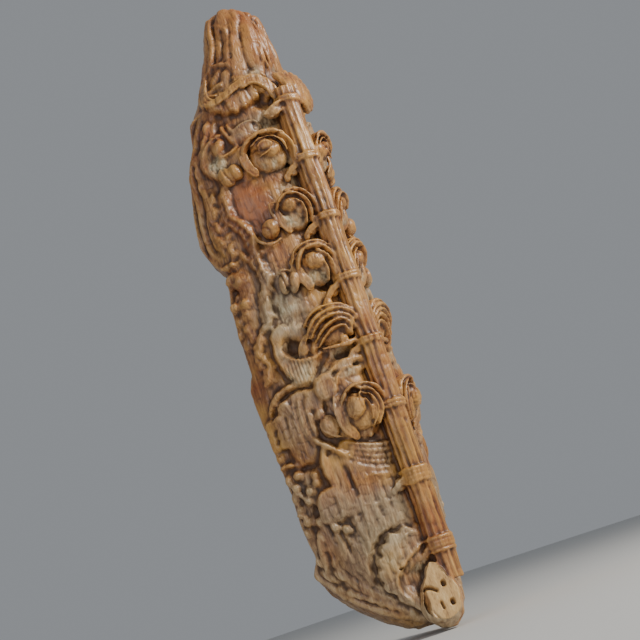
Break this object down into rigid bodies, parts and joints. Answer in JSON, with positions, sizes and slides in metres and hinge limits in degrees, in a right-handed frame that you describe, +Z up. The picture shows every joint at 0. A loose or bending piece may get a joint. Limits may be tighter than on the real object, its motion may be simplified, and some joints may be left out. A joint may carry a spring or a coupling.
{
  "type": "carved corbel",
  "caption": "Tall half-round wooden corbel with a flat back, carved with a reeded stem, paired scrolls, a leafy bud on top and a scalloped shell at the foot.",
  "frame": {"origin": "middle of the flat back where it meets the wall, on the corbel's centre line, about half way up", "axes": "+Z up along the corbel, +Y from the flat back into the wall, +X to the right as seen from the carved front, which faces -Y"},
  "size_m": [0.3232, 0.1955, 1.1603],
  "materials": {
    "timber": "satin, waxed hardwood with pale residue and dark dirt in the hollows"
  },
  "bodies": {
    "root": {"carved_corbel": "timber"}
  },
  "joints": []
}
